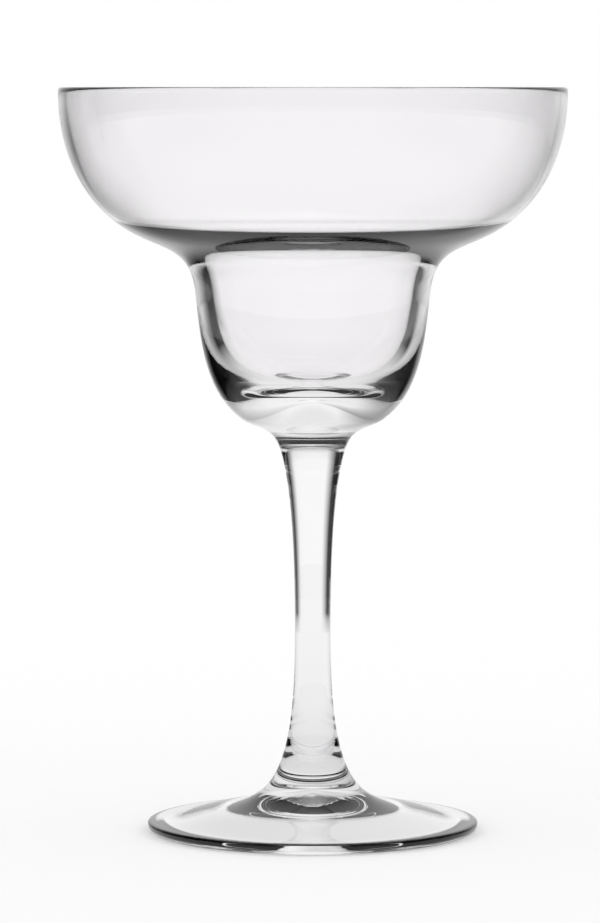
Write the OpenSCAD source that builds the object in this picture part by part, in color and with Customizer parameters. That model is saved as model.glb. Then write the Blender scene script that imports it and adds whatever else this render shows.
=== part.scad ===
// Stemmed margarita glass: a wide upper bowl, a shoulder, a small lower bowl, a solid stem and a foot.
// It is one piece of clear glass, so it is one outline turned about the upright axis.
// The outline runs through stations. A station is [radius, height, direction], where the direction is
// in degrees from level outwards, and each pair of stations is joined by one smooth curve.

/* [Upper bowl] */
// Height of the glass, from the table to the rim
glass_h = 170.5; // [162:0.5:190]
// Outer diameter at the rim
rim_d = 116; // [104:0.5:130]
// Depth of the upper bowl, from the rim down to the shoulder
upper_h = 34.8; // [28:0.1:42]
// Radius of the shoulder, where the wide bowl turns over
shoulder_r = 37.6; // [34:0.1:42]
// Slope of the shoulder, in degrees from level
shoulder_slope = 22; // [18:0.5:28]
// Fullness of the upper bowl, at the rim and at the shoulder
upper_pull = [0.45, 0.32]; // [0.25:0.01:0.6]

/* [Lower bowl] */
// Height of the step from the shoulder down to the waist
step_h = 12.8; // [11:0.1:16]
// Outer radius of the waist, where the lower bowl's side begins
waist_r = 26.7; // [23:0.1:30]
// Taper of the lower bowl's side, in degrees from upright
waist_taper = 5.6; // [2:0.2:9]
// Fullness of the curve from the shoulder to the waist
fillet_pull = [0.45, 0.52]; // [0.3:0.01:0.6]
// Height of the lower bowl, from the waist down to the head of the stem
cup_h = 34.5; // [28:0.1:42]
// Radius where the underside of the lower bowl turns towards the stem
belly_r = 16; // [13.5:0.1:19]
// Height of that turn above the head of the stem
belly_rise = 6.3; // [5:0.1:7.6]
// Slope of the underside there, in degrees from level
belly_slope = 34.5; // [28:0.5:40]
// Fullness of the lower bowl, at the waist and underneath
belly_pull = [0.36, 0.34]; // [0.25:0.01:0.45]

/* [Inside of the bowl] */
// Thickness of the wall at the rim
rim_wall = 1.7; // [1.2:0.1:2.4]
// Thickness of the glass at the shoulder, measured upright
shoulder_wall = 2.4; // [2:0.1:3.2]
// Slope of the shoulder on the inside, in degrees from level
shoulder_slope_in = 12; // [10:0.5:22]
// Fullness of the upper bowl on the inside, at the rim and at the shoulder
upper_pull_in = [0.38, 0.31]; // [0.25:0.01:0.45]
// Thickness of the wall at the waist, measured level
waist_wall = 4.2; // [3:0.1:5.4]
// How much lower the waist lies on the inside
waist_drop = 1.6; // [0:0.1:4]
// Taper of the lower bowl's side on the inside, in degrees from upright
waist_taper_in = 4; // [2:0.2:8]
// Fullness of the curve from the shoulder to the waist on the inside
fillet_pull_in = [0.52, 0.48]; // [0.3:0.01:0.6]
// Solid glass between the bowl's floor and the head of the stem
base_t = 12.4; // [9:0.1:16]
// Fullness of the bowl's inside corner, at the wall and at the floor
floor_pull = [0.52, 0.51]; // [0.4:0.01:0.6]

/* [Stem] */
// Radius at the head of the stem
head_r = 7.6; // [6.5:0.1:9]
// Lean of the stem's side at its head, in degrees from upright
head_lean = 18.7; // [14:0.1:24]
// Fullness of the curve from the bowl's underside to the stem
head_pull = [0.34, 0.49]; // [0.25:0.01:0.55]
// Radius of the stem at its thinnest
stem_r = 4.1; // [3.5:0.05:5]
// Height of the thinnest place
stem_z = 45.5; // [38:0.5:54]
// Fullness of the stem's upper taper, at the head and at the thinnest place
taper_pull = [0.22, 0.36]; // [0.15:0.01:0.5]

/* [Foot] */
// Diameter of the foot
foot_d = 75.8; // [64:0.2:88]
// Radius of the stem's flare, half way into the foot
flare_r = 9.9; // [8.2:0.1:11.4]
// Height of the flare
flare_z = 11.2; // [9.6:0.1:13.6]
// Lean of the flare, in degrees from upright
flare_lean = 37; // [30:0.5:42]
// Fullness of the curve from the thinnest place to the flare
flare_pull = [0.28, 0.27]; // [0.15:0.01:0.5]
// Radius half way out along the foot's upper side
slope_r = 24.6; // [21:0.1:28]
// Height of the foot's upper side there
slope_z = 5.1; // [4.2:0.1:6]
// Slope of the foot's upper side there, in degrees from level
foot_slope = 12.5; // [9:0.5:15]
// Fullness of the curve from the flare to the slope
slope_pull = [0.37, 0.27]; // [0.15:0.01:0.45]
// Height of the brim, where the foot's upper side turns into its rounded edge
brim_z = 2.6; // [2.2:0.1:3.2]
// Width of the rounded edge, inwards from the foot's widest line to the brim
brim_in = 1.4; // [0.8:0.1:2.2]
// Slope of the brim, in degrees from level
brim_slope = 3; // [1:0.5:8]
// Height of the foot's widest line
edge_z = 1.9; // [1.2:0.1:2.1]
// Rounding under the foot's edge, inwards from the widest line
edge_round = 2.3; // [1:0.1:3]
// Width of the flat ring that the glass stands on
ring_w = 1.8; // [1:0.1:3]

/* [Hollow under the foot] */
// Height of the hollow in the middle, under the stem
hollow_h = 7.3; // [5:0.1:8]
// Rise of the hollow at its edge, in degrees from level
hollow_rise = 8; // [2:0.5:10]
// Radius half way across the hollow
vault_r = 16.5; // [14:0.1:19]
// Height of the hollow there
vault_z = 3.9; // [2.6:0.1:4.4]
// Slope of the hollow there, in degrees from level
vault_slope = 5.5; // [2:0.5:10]
// Fullness of the hollow's outer part, at its edge and half way across
vault_pull = [0.33, 0.48]; // [0.2:0.01:0.55]
// Fullness of the hollow's middle, half way across and under the stem
crown_pull = [0.37, 0.1]; // [0.05:0.01:0.5]

/* [Hidden] */

// Steps in each curve of the outline, in the lip and round the whole glass
curve_steps = 12;
lip_steps = 8;
turn_steps = 120;

rim_r = rim_d / 2;
foot_r = foot_d / 2;
lip_r = rim_wall / 2;
lip_z = glass_h - lip_r;
shoulder_z = glass_h - upper_h;
waist_z = shoulder_z - step_h;
head_z = waist_z - cup_h;
ring_r = foot_r - edge_round;

up = 90;
down = -90;
outwards = 0;
inwards = 180;

// Fullness of the foot's upper side and of its rounded edge
brim_pull = [0.35, 0.35];
round_pull = [0.45, 0.45];

// Stations on the outside, from the rim down to the foot and under it
rim = [rim_r, lip_z, down];
shoulder = [shoulder_r, shoulder_z, shoulder_slope - inwards];
waist = [waist_r, waist_z, down - waist_taper];
belly = [belly_r, head_z + belly_rise, belly_slope - inwards];
head = [head_r, head_z, down - head_lean];
thinnest = [stem_r, stem_z, down];
flare = [flare_r, flare_z, down + flare_lean];
slope = [slope_r, slope_z, outwards - foot_slope];
brim = [foot_r - brim_in, brim_z, outwards - brim_slope];
edge = [foot_r, edge_z, down];
ring_out = [ring_r, 0, -inwards];
ring_in = [ring_r - ring_w, 0, inwards - hollow_rise];
vault = [vault_r, vault_z, inwards - vault_slope];
crown = [0, hollow_h, inwards];

// Stations on the inside, from the floor of the bowl up to the rim. Each is set by its distance from the
// outside.
floor_top = [0, head_z + base_t, outwards];
waist_in = [waist_r - waist_wall, waist_z - waist_drop, up - waist_taper_in];
shoulder_in = [shoulder_r, shoulder_z + shoulder_wall, outwards + shoulder_slope_in];
rim_in = [rim_r - rim_wall, lip_z, up];

function swapped(pull) = [pull[1], pull[0]];
function spot(s) = [s[0], s[1]];
function heading(angle) = [cos(angle), sin(angle)];

// Point at t on the curve with the control points p
function cubic(p, t) =
    pow(1 - t, 3) * p[0] + 3 * t * pow(1 - t, 2) * p[1] + 3 * t * t * (1 - t) * p[2] + pow(t, 3) * p[3];

// Curve from station a to station b, without a's own point. The pull says how far each end holds its
// direction, as a share of the distance between the stations.
function curve(a, b, pull) =
    let (reach = norm(spot(b) - spot(a)),
         p = [spot(a), spot(a) + pull[0] * reach * heading(a[2]),
              spot(b) - pull[1] * reach * heading(b[2]), spot(b)])
    [for (i = [1:curve_steps]) cubic(p, i / curve_steps)];

// Half round of the lip, from the inside of the wall over the top to the outside
function lip() =
    [for (i = [1:lip_steps]) spot(rim_in) + lip_r * ([1, 0] + heading(180 - 180 * i / lip_steps))];

function outside() = concat(
    curve(rim, shoulder, upper_pull),
    curve(shoulder, waist, fillet_pull),
    curve(waist, belly, belly_pull),
    curve(belly, head, head_pull),
    curve(head, thinnest, taper_pull),
    curve(thinnest, flare, flare_pull),
    curve(flare, slope, slope_pull));

function foot_edge() = concat(
    curve(slope, brim, brim_pull),
    curve(brim, edge, round_pull),
    curve(edge, ring_out, round_pull),
    [spot(ring_in)],
    curve(ring_in, vault, vault_pull),
    curve(vault, crown, crown_pull));

function inside() = concat(
    [spot(floor_top)],
    curve(floor_top, waist_in, swapped(floor_pull)),
    curve(waist_in, shoulder_in, swapped(fillet_pull_in)),
    curve(shoulder_in, rim_in, swapped(upper_pull_in)));

module glass() {
    color([0.86, 0.9, 0.91, 0.35])
        rotate_extrude($fn = turn_steps)
            polygon(concat(outside(), foot_edge(), inside(), lip()));
}

glass();
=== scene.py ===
# %% [markdown]
# A clear margarita glass, from outline to light
#
# The glass is one piece of clear soda-lime glass, pressed and fire-polished: a wide bowl, a shoulder, a
# small bowl, a solid stem and a foot. Clear glass has no colour of its own to paint. What the eye reads is
# how its walls bend whatever stands round it, so this lesson spends its care on three things: a smooth
# closed wall of the true thickness, a glass that bends light by the right amount, and a white studio that
# is black to both sides, which draws the dark edge lines that show where the glass is.
#
# The measured model comes in first, as a frame that nothing here moves or resizes.

# %% Load the frame
import math

import bmesh
import bpy
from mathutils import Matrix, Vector


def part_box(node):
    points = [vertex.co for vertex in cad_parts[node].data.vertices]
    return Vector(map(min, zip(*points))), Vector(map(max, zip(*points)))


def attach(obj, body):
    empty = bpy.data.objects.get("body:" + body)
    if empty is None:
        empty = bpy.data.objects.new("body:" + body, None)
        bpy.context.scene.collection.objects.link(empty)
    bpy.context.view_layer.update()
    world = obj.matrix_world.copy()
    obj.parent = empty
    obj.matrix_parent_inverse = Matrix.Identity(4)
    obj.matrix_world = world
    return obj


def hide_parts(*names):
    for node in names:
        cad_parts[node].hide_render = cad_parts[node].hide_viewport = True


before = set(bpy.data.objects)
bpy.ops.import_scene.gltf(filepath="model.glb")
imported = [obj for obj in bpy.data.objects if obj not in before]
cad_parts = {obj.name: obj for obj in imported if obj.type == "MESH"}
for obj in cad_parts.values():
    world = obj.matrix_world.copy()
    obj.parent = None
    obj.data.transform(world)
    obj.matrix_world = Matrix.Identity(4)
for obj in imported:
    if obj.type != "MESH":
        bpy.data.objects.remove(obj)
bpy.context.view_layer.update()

MM_PER_METRE = 1000

_, rim_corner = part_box("glass")
rim_height = rim_corner.z
rim_diameter = 2 * rim_corner.x
print(f"glass {rim_height * MM_PER_METRE:.1f} mm tall, {rim_diameter * MM_PER_METRE:.1f} mm across")

# %% [markdown]
# The camera
#
# The picture was taken from far off with a long lens, level with the rim, so the rim is seen as a straight
# line and the foot as a narrow ellipse. A lens as long as this one flattens the glass, and standing closer
# with a shorter lens would open up both ellipses. The camera stands at the height of the rim and tilts
# down just enough to bring the whole glass into the frame. A small turn puts the glass a little right of
# the middle, where the picture has it.

# %% Camera
SENSOR_MM = 36.0
PHOTO_HEIGHT_PX = 923
LENS_MM = 188.2
CAMERA_DISTANCE = 1.1006
RIM_ABOVE_CENTRE_PX = 374.5
AXIS_RIGHT_OF_CENTRE_PX = 12.8

focal_px = LENS_MM / SENSOR_MM * PHOTO_HEIGHT_PX
tilt_down = math.atan(RIM_ABOVE_CENTRE_PX / focal_px)
turn_left = math.atan(AXIS_RIGHT_OF_CENTRE_PX / focal_px)

camera_data = bpy.data.cameras.new("camera")
camera_data.sensor_width = SENSOR_MM
camera_data.lens = LENS_MM
camera = bpy.data.objects.new("camera", camera_data)
camera.location = (0, -CAMERA_DISTANCE, rim_height)
camera.rotation_euler = (math.pi / 2 - tilt_down, 0, turn_left)
bpy.context.scene.collection.objects.link(camera)
bpy.context.scene.camera = camera
print(f"camera {CAMERA_DISTANCE:.2f} m away, tilted {math.degrees(tilt_down):.2f} degrees down")

# %% [markdown]
# The outline of the glass
#
# A glass like this is a body of revolution, so its whole form is in one outline. The frame holds the true
# outline, and the way to get it out is to cut a copy of the measured mesh through its axis and to keep one
# half of the cut.

# %% Cut the outline out of the frame
SAME_POINT = 1e-6


def half_section(cad_object):
    """A bmesh that holds the outline of a round object, to the right of its axis."""
    section = bmesh.new()
    section.from_mesh(cad_object.data)
    bmesh.ops.remove_doubles(section, verts=section.verts, dist=SAME_POINT)
    bmesh.ops.bisect_plane(
        section,
        geom=section.verts[:] + section.edges[:] + section.faces[:],
        dist=SAME_POINT,
        plane_co=(0, 0, 0),
        plane_no=(0, 1, 0),
        clear_inner=True,
        clear_outer=True,
    )
    other_half = [v for v in section.verts if v.co.x < -SAME_POINT]
    bmesh.ops.delete(section, geom=other_half, context="VERTS")
    return section


outline = half_section(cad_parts["glass"])
print(f"outline of {len(outline.verts)} points")

# %% [markdown]
# The inside of the bowl
#
# In the picture the bowl's floor is flat, with a tight corner round it, and the glass under it is thick and
# light. A plunger with a flat end leaves such a floor. It decides what the eye sees low in the bowl: the
# corner bends the view into the two dark wedges, and the flat floor lets the light base show between them.
# The measured outline has the same walls but a rounder floor, up to 3 mm deeper, so the inside is drawn
# anew here as one smooth curve. It has a point on the axis, one on the wall of the small bowl, one on the
# shoulder and one under the lip. Each point has a heading and two handles, and long handles near the floor
# keep it flat before it turns.

# %% Take the old inside away
LIP_BELOW_RIM_MM = 0.86


def climb(start, height):
    """Points of the outline from start, up to the first one at the given height."""
    path = [start]
    while path[-1].co.z < height:
        beside = [edge.other_vert(path[-1]) for edge in path[-1].link_edges]
        path.append(next(v for v in beside if v not in path[-2:]))
    return path


on_axis = [v for v in outline.verts if v.co.x < SAME_POINT]
old_floor = max(on_axis, key=lambda v: v.co.z)
inside = climb(old_floor, rim_height - LIP_BELOW_RIM_MM / MM_PER_METRE)
wall_top = inside[-1].co.copy()
bmesh.ops.delete(outline, geom=inside[:-1], context="VERTS")
wall_top_mm = wall_top * MM_PER_METRE
print(f"the wall is cut {wall_top_mm.z:.2f} mm up, {wall_top_mm.x:.2f} mm from the axis")

# %% Draw the new inside
CURVE_STEPS = 12

# Radius, height, heading in degrees from level, and the handles towards the floor and towards the lip
floor_to_lip_mm = [
    (0.0, 103.8, 0.0, 0.0, 6.4),
    (22.56, 120.7, 83.3, 24.8, 8.1),
    (37.6, 137.9, 9.2, 14.8, 11.4),
    (wall_top_mm.x, wall_top_mm.z, 90.0, 14.0, 0.0),
]

plunger_line = bpy.data.curves.new("plunger_line", "CURVE")
plunger_line.dimensions = "3D"
plunger_line.resolution_u = CURVE_STEPS
spline = plunger_line.splines.new("BEZIER")
spline.bezier_points.add(len(floor_to_lip_mm) - 1)
for point, (radius, height, heading, back, ahead) in zip(spline.bezier_points, floor_to_lip_mm):
    place = Vector((radius, 0, height)) / MM_PER_METRE
    slope = math.radians(heading)
    along = Vector((math.cos(slope), 0, math.sin(slope))) / MM_PER_METRE
    point.handle_left_type = "FREE"
    point.handle_right_type = "FREE"
    point.co = place
    point.handle_left = place - back * along
    point.handle_right = place + ahead * along

drawing = bpy.data.objects.new("plunger_drawing", plunger_line)
inside_mesh = bpy.data.meshes.new_from_object(drawing)
outline.from_mesh(inside_mesh)
bpy.data.objects.remove(drawing)
bpy.data.curves.remove(plunger_line)
bpy.data.meshes.remove(inside_mesh)
bmesh.ops.remove_doubles(outline, verts=outline.verts, dist=SAME_POINT)
loose_ends = [v for v in outline.verts if len(v.link_edges) == 1]
print(f"outline of {len(outline.verts)} points with {len(loose_ends)} ends, both on the axis")

# %% [markdown]
# Easing the outline
#
# Its points are fine enough to build from but too coarse to look through: a wall seen through another wall
# shows every change of direction. One round of halving each edge and easing each point half way towards its
# neighbours turns the straight pieces into an even curve.

# %% Ease the outline
EASE_SHARE = 0.5

bmesh.ops.subdivide_edges(outline, edges=outline.edges[:], cuts=1)
between_ends = [v for v in outline.verts if len(v.link_edges) == 2]
bmesh.ops.smooth_vert(
    outline, verts=between_ends, factor=EASE_SHARE, use_axis_x=True, use_axis_y=False, use_axis_z=True
)
print(f"eased outline of {len(outline.verts)} points")

# %% [markdown]
# The glass itself
#
# The outline is spun once round the axis. Both its ends lie on the axis, one under the foot and one on the
# floor of the bowl, so the spin closes into a single watertight skin: the outside, the lip and the inside
# of the bowl in one. That is what a renderer needs to know where glass begins and ends. The steps round the
# axis are many, because the wide rim is seen edge on and would show its corners.

# %% Spin the outline
STEPS_ROUND = 208


def spin_round(shape, steps):
    """Spins the outline in a bmesh once round the upright axis."""
    bmesh.ops.spin(
        shape,
        geom=shape.verts[:] + shape.edges[:],
        cent=(0, 0, 0),
        axis=(0, 0, 1),
        dvec=(0, 0, 0),
        angle=2 * math.pi,
        steps=steps,
        use_merge=True,
        use_duplicate=False,
    )


def new_object(name, shape):
    """An object in the scene that takes its mesh from a bmesh."""
    mesh = bpy.data.meshes.new(name)
    shape.to_mesh(mesh)
    shape.free()
    made = bpy.data.objects.new(name, mesh)
    bpy.context.scene.collection.objects.link(made)
    return made


spin_round(outline, STEPS_ROUND)
bmesh.ops.remove_doubles(outline, verts=outline.verts, dist=SAME_POINT)
bmesh.ops.recalc_face_normals(outline, faces=outline.faces)
for face in outline.faces:
    face.smooth = True

pressed_glass = new_object("pressed_glass", outline)
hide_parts("glass")
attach(pressed_glass, "root")
print(f"glass of {len(pressed_glass.data.polygons)} faces")

# %% [markdown]
# Colours and nodes
#
# Colours are written as the sRGB values that a colour picker shows, and one function turns them into the
# linear values that the shaders count in. Another adds a shader node, with its settings and its links, and
# a third starts a material.

# %% Helpers for materials


def srgb(hex_colour):
    """Linear red, green, blue and alpha of a colour written as RRGGBB."""
    shares = [int(hex_colour[i : i + 2], 16) / 255 for i in (0, 2, 4)]
    linear = [s / 12.92 if s <= 0.04045 else ((s + 0.055) / 1.055) ** 2.4 for s in shares]
    return (*linear, 1.0)


def add_node(tree, kind, settings=None, links=None):
    """A new node, with values for its sockets or properties and links into its sockets."""
    node = tree.nodes.new(kind)
    for name, value in (settings or {}).items():
        if isinstance(name, int) or name in node.inputs:
            node.inputs[name].default_value = value
        else:
            setattr(node, name, value)
    for socket, source in (links or {}).items():
        tree.links.new(source, node.inputs[socket])
    return node


def new_material(name):
    """An empty material with an output node, and its node tree."""
    material = bpy.data.materials.new(name)
    material.use_nodes = True
    tree = material.node_tree
    tree.nodes.clear()
    return material, tree, add_node(tree, "ShaderNodeOutputMaterial")


print("white paper renders at", [round(c, 3) for c in srgb("FFFFFF")[:3]])

# %% [markdown]
# Soda-lime glass
#
# Table glass is soda-lime glass with a refractive index of about 1.52. Fire-polishing leaves the skin
# without any grain, so its roughness is nothing and its reflections stay sharp, but the flame also lets the
# skin sag into waves too shallow to feel. They are about two centimetres wide here and a few thousandths of
# a millimetre deep, just enough to make a streak waver where one wall is seen through another. The makers
# take the green out of such glass with a decolourant, and the base colour keeps the trace of rose that it
# leaves.

# %% Glass material
GLASS_INDEX = 1.52
WAVES_PER_METRE = 45.0
WAVE_DEPTH = 8e-6

soda_lime, tree, output = new_material("soda_lime_glass")
place = add_node(tree, "ShaderNodeTexCoord")
waves = add_node(
    tree,
    "ShaderNodeTexNoise",
    {"Scale": WAVES_PER_METRE, "Detail": 1.0, "Roughness": 0.4},
    {"Vector": place.outputs["Object"]},
)
sag = add_node(
    tree, "ShaderNodeBump", {"Strength": 1.0, "Distance": WAVE_DEPTH}, {"Height": waves.outputs[0]}
)
skin = add_node(
    tree,
    "ShaderNodeBsdfPrincipled",
    {
        "Base Color": srgb("FFFEFF"),
        "Roughness": 0.0,
        "IOR": GLASS_INDEX,
        "Transmission Weight": 1.0,
    },
    {"Normal": sag.outputs["Normal"]},
)
tree.links.new(skin.outputs["BSDF"], output.inputs["Surface"])
pressed_glass.data.materials.append(soda_lime)
print("glass bends light with an index of", GLASS_INDEX)

# %% [markdown]
# Greys round the glass
#
# Everything that the glass shows stands round it, so the studio is painted in greys by their angle round
# the glass, in bands up a wall or out over the table. The greys glow as painted light and run into one
# another, as real cards do where they are out of focus. Each surface of the studio has two sets: one for
# what is seen through the glass, and a painted reflection for what the skin of the glass mirrors, from
# outside or from inside.

# %% Helpers for the studio
HALF_TURN = 180.0
HALF_A_BOUNCE = 0.5


def even(grey):
    """The same grey all round."""
    return [(-HALF_TURN, grey), (HALF_TURN, grey)]


def bands_from(places, rows):
    """A band of greys for each place. A row has an angle and one grey for each of the places."""
    return [(place, [(row[0], row[i]) for row in rows]) for i, place in enumerate(places, start=1)]


def greys_round(tree, share, greys):
    """Greys round the upright axis. Each has an angle from straight behind, counted to the right."""
    ramp = add_node(tree, "ShaderNodeValToRGB", links={0: share})
    stops = ramp.color_ramp.elements
    for angle, _ in greys[2:]:
        stops.new((angle + HALF_TURN) / (2 * HALF_TURN))
    for stop, (angle, grey) in zip(stops, greys):
        stop.position = (angle + HALF_TURN) / (2 * HALF_TURN)
        stop.color = srgb(grey * 3)
    return ramp.outputs["Color"]


def greys_in_bands(tree, along, bands):
    """Greys round the axis in bands, either up the tent ("height") or out over the table ("distance").

    Each band has its place, in metres, and its greys, which run into those of the next band.
    """
    origin = add_node(tree, "ShaderNodeTexCoord").outputs["Object"]
    x, y, z = add_node(tree, "ShaderNodeSeparateXYZ", links={0: origin}).outputs
    away = add_node(tree, "ShaderNodeVectorMath", {"operation": "LENGTH"}, {0: origin})
    reach = {"height": z, "distance": away.outputs["Value"]}[along]
    turn = add_node(tree, "ShaderNodeMath", {"operation": "ARCTAN2"}, {0: x, 1: y})
    share = add_node(
        tree, "ShaderNodeMapRange", {"From Min": -math.pi, "From Max": math.pi}, {0: turn.outputs[0]}
    )
    colour = greys_round(tree, share.outputs[0], bands[0][1])
    for (near, _), (far, greys) in zip(bands, bands[1:]):
        next_colour = greys_round(tree, share.outputs[0], greys)
        step = add_node(tree, "ShaderNodeMapRange", {"From Min": near, "From Max": far}, {0: reach})
        blend = add_node(tree, "ShaderNodeMixRGB", links={0: step.outputs[0], 1: colour, 2: next_colour})
        colour = blend.outputs[0]
    return colour


def has_bounced(tree, depth):
    """1 for a ray with at least one bounce of the kind that the depth counts, and otherwise 0."""
    path = add_node(tree, "ShaderNodeLightPath")
    test = add_node(
        tree,
        "ShaderNodeMath",
        {"operation": "GREATER_THAN", 1: HALF_A_BOUNCE},
        {0: path.outputs[depth]},
    )
    return test.outputs[0]


def glow_of(tree, along, seen_bands, mirrored_bands):
    """Painted light in one set of greys for what is seen through the glass, and a painted reflection in
    another for what it mirrors.
    """
    seen = greys_in_bands(tree, along, seen_bands)
    mirrored = greys_in_bands(tree, along, mirrored_bands)
    is_mirrored = has_bounced(tree, "Glossy Depth")
    colour = add_node(tree, "ShaderNodeMixRGB", links={0: is_mirrored, 1: seen, 2: mirrored})
    return add_node(tree, "ShaderNodeEmission", links={"Color": colour.outputs[0]})


print("a grey has an angle from straight behind and a height or a distance")

# %% [markdown]
# The table and the sky
#
# The glass stands on a white table in a white studio. A table of plain white under an even white sky of
# strength 1 renders as white as the sky behind it, so no horizon shows, and the foot still shades it. Seen
# through the glass the same table is painted light: it glows like a light box, with a painted shadow a
# little darker under the foot, and far out to both sides its painted white ends in painted black. The
# painted reflection, what the walls mirror from inside, meets that black much nearer the glass. It draws
# the dark strokes down the sides of the small bowl and the two wedges beside its floor.

# %% Greys of the table
# Painted light of the far table as seen through the glass: painted white that ends in painted black to both
# sides.
far_table = [
    (-180, "F8"),
    (-90, "F8"),
    (-65, "9C"),
    (-50, "0D"),
    (-40, "0D"),
    (-30, "B8"),
    (-20, "F8"),
    (20, "F8"),
    (30, "F3"),
    (40, "A9"),
    (50, "0D"),
    (65, "A9"),
    (90, "F8"),
    (180, "F8"),
]
# A painted reflection of the table: an angle, then the greys that the glass mirrors at each of the mirrored
# distances.
mirrored_table = [
    (-180, "E1", "F5", "E1"),
    (-120, "E1", "F5", "E1"),
    (-90, "CB", "EB", "FF"),
    (-65, "DA", "20", "9C"),
    (-50, "DA", "22", "3A"),
    (-38, "DA", "0D", "0D"),
    (-28, "DA", "A6", "90"),
    (-15, "F2", "EB", "F8"),
    (15, "F2", "EB", "F8"),
    (28, "F5", "EC", "D5"),
    (38, "E9", "0D", "58"),
    (50, "DA", "66", "59"),
    (65, "DA", "75", "A9"),
    (90, "CB", "EB", "FF"),
    (120, "E1", "F5", "E1"),
    (180, "E1", "F5", "E1"),
]
MIRRORED_DISTANCES = (0.12, 0.25, 0.45)

# Distance from the axis in metres, and the greys there
# The foot's painted shadow: the table glows a little darker near the axis, under the foot.
foot_shadow_bands = [(0.03, even("E2")), (0.045, even("EA"))]
table_seen = foot_shadow_bands + [(0.12, even("F2")), (0.4, even("F5")), (0.52, far_table)]
table_mirrored = foot_shadow_bands + bands_from(MIRRORED_DISTANCES, mirrored_table)
print(f"table with {len(table_seen)} bands to see through the glass and {len(table_mirrored)} to mirror")

# %% Table
TABLE_SIZE = 12.0

white_table, tree, output = new_material("white_table")
# Painted light: every ray but the camera's sees the table glow in the painted greys, foot's painted shadow
# included.
glow = glow_of(tree, "distance", table_seen, table_mirrored)
paint = add_node(tree, "ShaderNodeBsdfDiffuse", {"Color": srgb("FFFFFF")})
path = add_node(tree, "ShaderNodeLightPath")
table_look = add_node(
    tree,
    "ShaderNodeMixShader",
    links={0: path.outputs["Is Camera Ray"], 1: glow.outputs[0], 2: paint.outputs[0]},
)
tree.links.new(table_look.outputs[0], output.inputs["Surface"])

table_shape = bmesh.new()
bmesh.ops.create_grid(table_shape, x_segments=1, y_segments=1, size=TABLE_SIZE / 2)
table = new_object("table", table_shape)
table.data.materials.append(white_table)
print(f"white table {TABLE_SIZE:.0f} m wide")

# %% Sky
studio = bpy.data.worlds.new("studio")
studio.use_nodes = True
tree = studio.node_tree
tree.nodes.clear()
sky_output = add_node(tree, "ShaderNodeOutputWorld")
sky = add_node(tree, "ShaderNodeBackground", {"Color": srgb("FFFFFF"), "Strength": 1.0})
tree.links.new(sky.outputs["Background"], sky_output.inputs["Surface"])
bpy.context.scene.world = studio
print("white sky of strength", sky.inputs["Strength"].default_value)

# %% [markdown]
# The tent round the glass
#
# In an all-white room clear glass disappears. Photographers stand a tent of paper round it, white behind
# and black to the left and the right of the white. The tent here is no paper under lamps but painted light:
# it glows by itself in painted greys, white behind and black to both sides, and the greys that the skin of
# the glass mirrors are a painted reflection of their own. The steep edges of the walls bend the view so far
# sideways that they show the black, and the glass gets its dark outline, while the middle of each wall
# still shows the white behind it. Only rays that have met the glass see the tent, so it doesn't darken the
# table or stand in any picture.

# %% Painted glow of the tent
SEEN_HEIGHTS = (0.3, 0.7)
MIRRORED_HEIGHTS = (0.0, 0.2, 0.6, 1.3)

# Painted light seen through the glass: glowing greys by angle, in bands up the tent.
tent_seen = bands_from(
    SEEN_HEIGHTS,
    [
        (-180, "F1", "DE"),
        (-90, "F1", "DE"),
        (-65, "10", "7E"),
        (-50, "0D", "18"),
        (-40, "0D", "0D"),
        (-30, "B8", "75"),
        (-20, "FD", "AE"),
        (20, "FD", "AE"),
        (30, "F8", "B3"),
        (40, "A9", "78"),
        (50, "0D", "28"),
        (65, "8F", "94"),
        (90, "F1", "DE"),
        (180, "F1", "DE"),
    ],
)
# A painted reflection: the greys that the skin of the glass mirrors, in bands up the tent.
tent_mirrored = bands_from(
    MIRRORED_HEIGHTS,
    [
        (-180, "98", "91", "80", "86"),
        (-150, "98", "91", "80", "86"),
        (-120, "7B", "5D", "20", "81"),
        (-90, "0D", "0D", "0D", "91"),
        (-65, "0D", "0D", "4E", "87"),
        (-50, "5D", "10", "8C", "98"),
        (-35, "45", "B5", "C1", "B5"),
        (-20, "A2", "F7", "DA", "D7"),
        (0, "FF", "FF", "D8", "E7"),
        (20, "D5", "F9", "F8", "E5"),
        (35, "9D", "EE", "F4", "D6"),
        (50, "0D", "30", "CA", "CC"),
        (65, "0D", "0D", "1D", "B4"),
        (90, "0D", "0D", "0D", "91"),
        (120, "7B", "5D", "20", "81"),
        (150, "98", "91", "80", "86"),
        (180, "98", "91", "80", "86"),
    ],
)

tent_painted_glow, tree, output = new_material("tent_painted_glow")
glow = glow_of(tree, "height", tent_seen, tent_mirrored)
clear = add_node(tree, "ShaderNodeBsdfTransparent", {"Color": srgb("FFFFFF")})
from_table = has_bounced(tree, "Diffuse Depth")
tent_look = add_node(
    tree, "ShaderNodeMixShader", links={0: from_table, 1: glow.outputs[0], 2: clear.outputs[0]}
)
tree.links.new(tent_look.outputs[0], output.inputs["Surface"])
print(f"paper with {len(tent_seen)} bands to see through the glass and {len(tent_mirrored)} to mirror")

# %% Stand the tent
TENT_STEPS = 128

# Radius and height in metres, from the table up to the top
tent_outline = [(1.0, 0.0), (1.0, 1.3), (0.5, 2.1), (0.0, 2.3)]

tent_shape = bmesh.new()
points = [tent_shape.verts.new((radius, 0, height)) for radius, height in tent_outline]
for pair in zip(points, points[1:]):
    tent_shape.edges.new(pair)
spin_round(tent_shape, TENT_STEPS)
tent = new_object("tent", tent_shape)
tent.data.materials.append(tent_painted_glow)
tent.visible_camera = False
tent.visible_diffuse = False
tent.visible_shadow = False
print(f"tent of {len(tent.data.polygons)} faces")

# %% [markdown]
# Finish
#
# The picture keeps the plain view transform, so white paper stays white.

# %% Finish
bpy.context.scene.view_settings.view_transform = "Standard"
